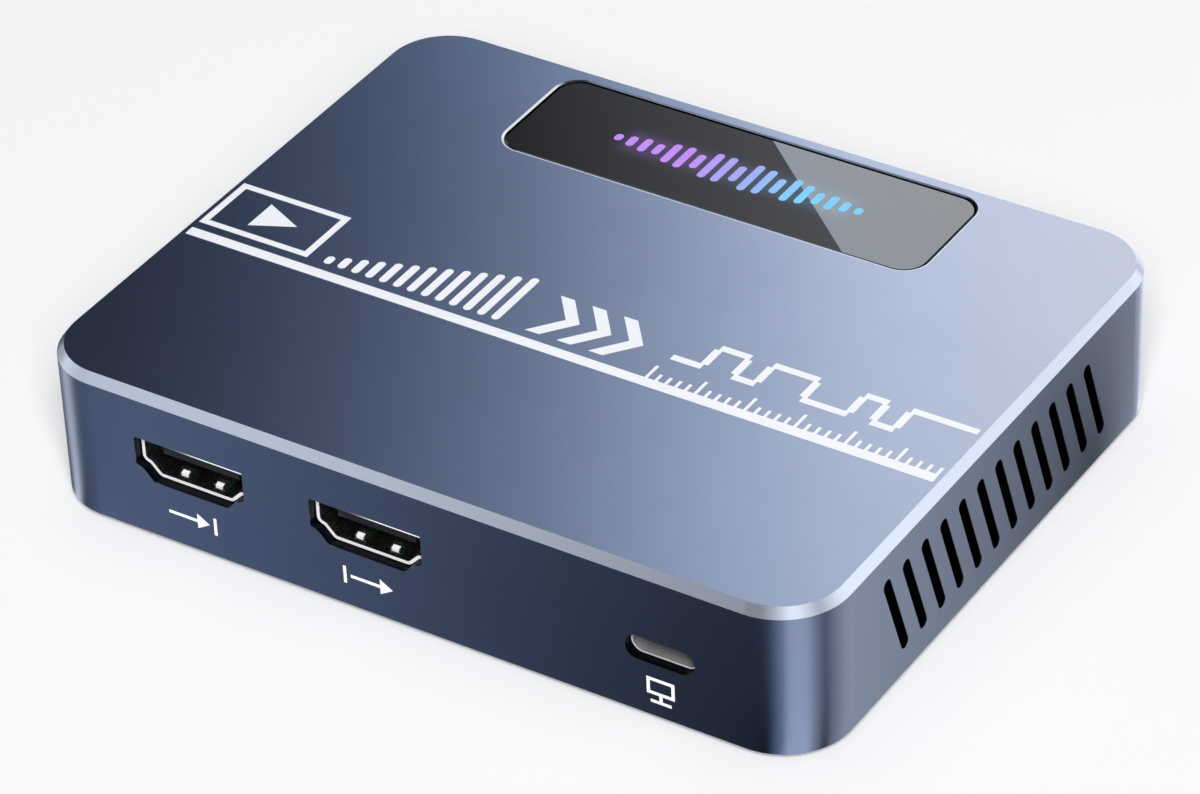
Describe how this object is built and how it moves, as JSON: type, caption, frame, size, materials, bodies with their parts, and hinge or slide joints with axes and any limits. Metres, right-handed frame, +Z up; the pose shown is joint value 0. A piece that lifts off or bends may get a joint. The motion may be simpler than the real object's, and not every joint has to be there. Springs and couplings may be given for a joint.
{
  "type": "video capture box",
  "caption": "Flat aluminium video capture box with video and data sockets in front, slanted vents in its sides and a lit window in its roof.",
  "frame": {"origin": "on the surface that the feet stand on, under the middle of the housing", "axes": "+X along the socket face, to the right seen from the front; +Y towards the back; +Z up"},
  "size_m": [0.104, 0.083, 0.0208],
  "materials": {
    "anodised": "fine blasted, anodised blue grey",
    "cover": "fine blasted, anodised dark blue grey",
    "screw_black": "blackened",
    "screw_steel": "bright",
    "foot_rubber": "matt",
    "window": "polished, dark tint",
    "tape": "matt",
    "diffuser": "milky",
    "reflector": "white",
    "light_source": "resin filled",
    "board": "solder mask",
    "ribbon": "satin",
    "socket_plastic": "moulded",
    "shell_steel": "nickel plated",
    "insulator": "moulded",
    "contact": "gold plated",
    "chip": "moulded",
    "processor": "moulded on a green carrier",
    "pad": "soft",
    "sink": "extruded",
    "can": "drawn",
    "crystal": "bright",
    "inductor": "pressed powder",
    "ceramic": "fired"
  },
  "bodies": {
    "root": {"housing": "anodised", "base_cover": "cover", "base_screws": "screw_black", "rubber_feet": "foot_rubber", "window_panel": "window", "window_tape": "tape", "light_diffuser": "diffuser", "light_box": "reflector", "light_board": "board", "light_leds": "light_source", "light_board_screws": "screw_steel", "light_ribbon": "ribbon", "light_board_socket": "socket_plastic", "main_board_socket": "socket_plastic", "main_board": "board", "board_screws": "screw_steel", "video_in_shell": "shell_steel", "video_in_insulator": "insulator", "video_in_contacts": "contact", "video_out_shell": "shell_steel", "video_out_insulator": "insulator", "video_out_contacts": "contact", "data_shell": "shell_steel", "data_insulator": "insulator", "data_contacts": "contact", "video_processor": "processor", "thermal_pad": "pad", "heat_sink": "sink", "input_receiver": "chip", "output_driver": "chip", "data_controller": "chip", "memory_chips": "chip", "flash_chip": "chip", "light_controller": "chip", "clock_crystals": "crystal", "power_inductors": "inductor", "power_regulators": "chip", "bulk_capacitors": "can", "ceramic_capacitors": "ceramic"}
  },
  "joints": []
}
